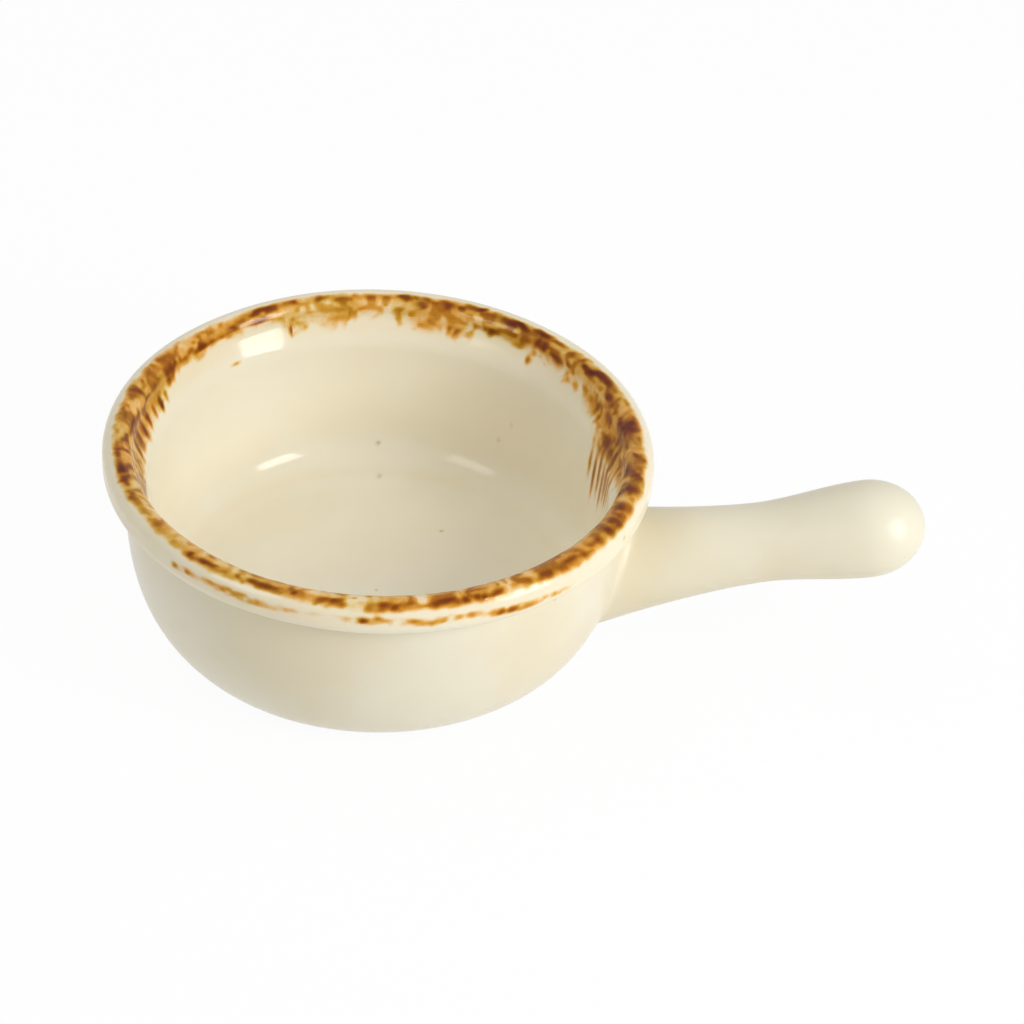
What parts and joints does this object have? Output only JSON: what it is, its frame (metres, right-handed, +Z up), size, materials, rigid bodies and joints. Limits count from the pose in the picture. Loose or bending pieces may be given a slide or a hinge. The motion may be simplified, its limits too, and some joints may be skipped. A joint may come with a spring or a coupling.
{
  "type": "handled soup bowl",
  "caption": "Round cream-glazed stoneware soup bowl with a beaded, brown-glazed rim and a straight stick handle that rises to a rounded end.",
  "frame": {"origin": "under the middle of the whole length and width, on the surface that the foot stands on", "axes": "+X along the handle, from the bowl to the handle's tip; +Z up, along the bowl's axis"},
  "size_m": [0.19, 0.127, 0.051],
  "materials": {
    "stoneware_body": "bare fired clay",
    "handle": "bare fired clay under glaze",
    "luting_slip": "fired slip",
    "inside_glaze": "glossy cream glaze",
    "outside_glaze": "glossy cream glaze",
    "handle_glaze": "glossy cream glaze",
    "rim_glaze": "glossy mottled brown glaze",
    "base_glaze": "glossy cream glaze"
  },
  "bodies": {
    "root": {"stoneware_body": "stoneware_body", "handle": "handle", "luting_slip": "luting_slip", "inside_glaze": "inside_glaze", "outside_glaze": "outside_glaze", "handle_glaze": "handle_glaze", "rim_glaze": "rim_glaze", "base_glaze": "base_glaze"}
  },
  "joints": []
}
